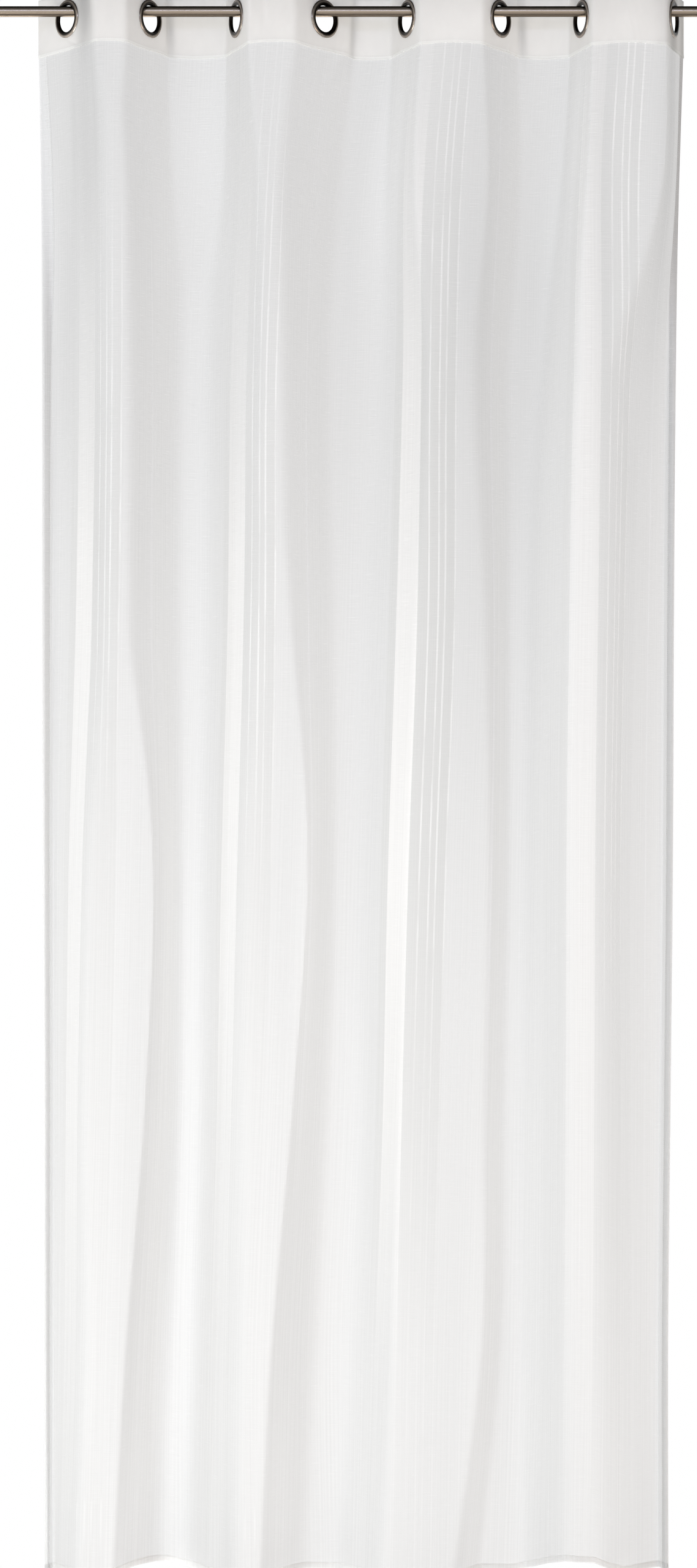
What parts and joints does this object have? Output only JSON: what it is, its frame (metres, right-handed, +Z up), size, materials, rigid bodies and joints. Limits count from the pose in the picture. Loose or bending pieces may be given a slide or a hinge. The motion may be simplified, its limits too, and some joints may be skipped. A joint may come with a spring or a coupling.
{
  "type": "sheer voile curtain on a curtain rod",
  "caption": "Sheer voile curtain with woven lengthways stripes, hung in soft waves by metal eyelets from a plain round rod.",
  "frame": {"origin": "on the rod's axis, half way along the rod", "axes": "+X along the rod, -Y towards the room, +Z up, opposite to the way the cloth hangs"},
  "size_m": [1.2, 0.1261, 2.4217],
  "materials": {
    "voile": "sheer plain weave with denser woven stripes, matte",
    "heading": "doubled and stiffened voile, matte",
    "eyelet_metal": "dark gunmetal plating, satin gloss",
    "rod_metal": "satin nickel, brushed along its length"
  },
  "bodies": {
    "root": {"voile_panel": "voile", "heading_band": "heading", "eyelet_1": "eyelet_metal", "eyelet_2": "eyelet_metal", "eyelet_3": "eyelet_metal", "eyelet_4": "eyelet_metal", "eyelet_5": "eyelet_metal", "eyelet_6": "eyelet_metal", "eyelet_7": "eyelet_metal", "eyelet_8": "eyelet_metal", "curtain_rod": "rod_metal"}
  },
  "joints": []
}
